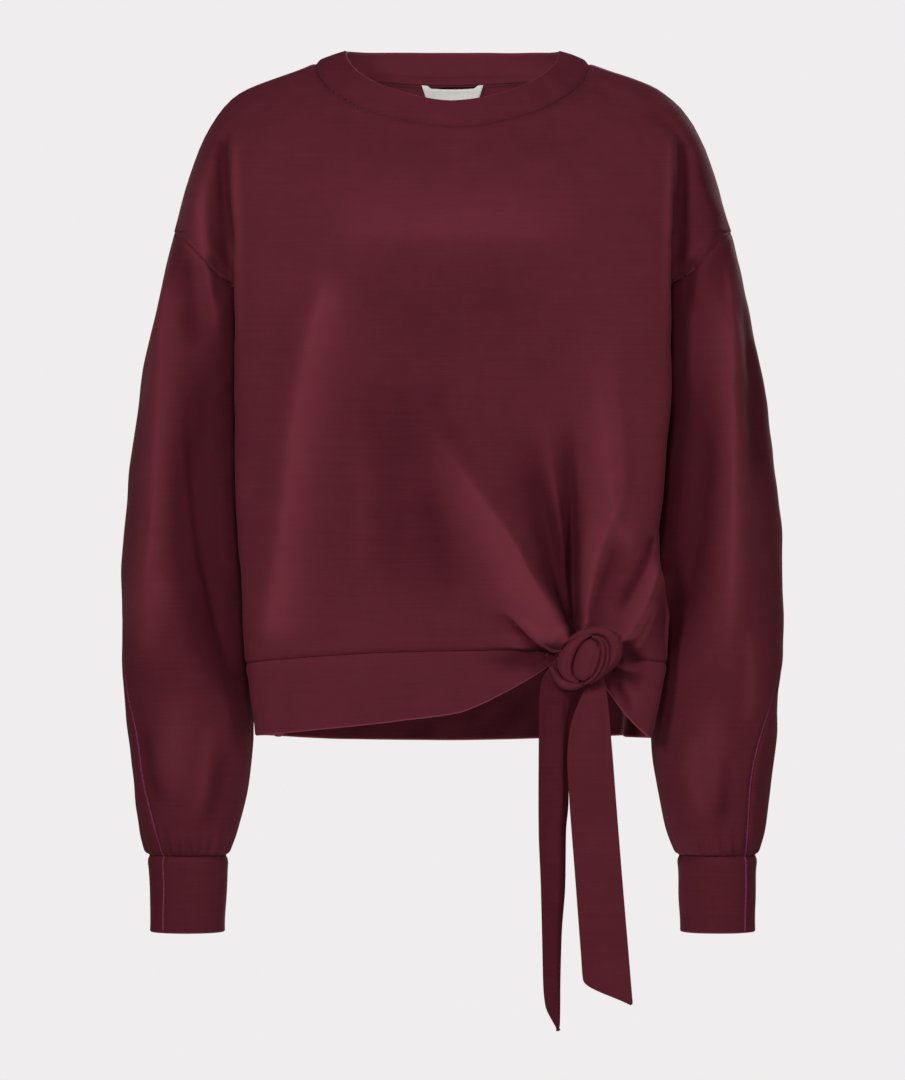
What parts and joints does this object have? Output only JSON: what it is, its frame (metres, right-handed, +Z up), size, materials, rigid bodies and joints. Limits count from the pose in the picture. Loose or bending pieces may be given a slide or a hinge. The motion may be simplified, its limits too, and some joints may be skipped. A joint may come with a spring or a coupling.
{
  "type": "cropped sweater",
  "caption": "Cropped crew-neck sweater with dropped shoulders, full sleeves, folded cuffs and a hem band tied in a knot at the front, held in its worn shape.",
  "frame": {"origin": "middle of the neck opening, level with the points where the shoulder seams meet the collar; the wearer's shoulders hold the garment there", "axes": "+Z up, the front faces -Y, +X towards the sleeve beside the knot"},
  "size_m": [0.526, 0.237, 0.7767],
  "materials": {
    "burgundy_jersey": "brushed jersey, matt with a soft nap",
    "burgundy_band": "the same jersey folded double, matt",
    "label_cloth": "plain woven label, bare"
  },
  "bodies": {
    "root": {"front_body": "burgundy_jersey", "back_body": "burgundy_jersey", "sleeve_left_front": "burgundy_jersey", "sleeve_left_back": "burgundy_jersey", "sleeve_right_front": "burgundy_jersey", "sleeve_right_back": "burgundy_jersey", "knot_core": "burgundy_jersey", "knot_wrap": "burgundy_jersey", "knot_tail": "burgundy_jersey", "cuff_left": "burgundy_band", "cuff_right": "burgundy_band", "collar": "burgundy_band", "band_front_left": "burgundy_band", "band_front_right": "burgundy_band", "band_back": "burgundy_band", "tie_left": "burgundy_band", "tie_right": "burgundy_band", "neck_label": "label_cloth"}
  },
  "joints": []
}
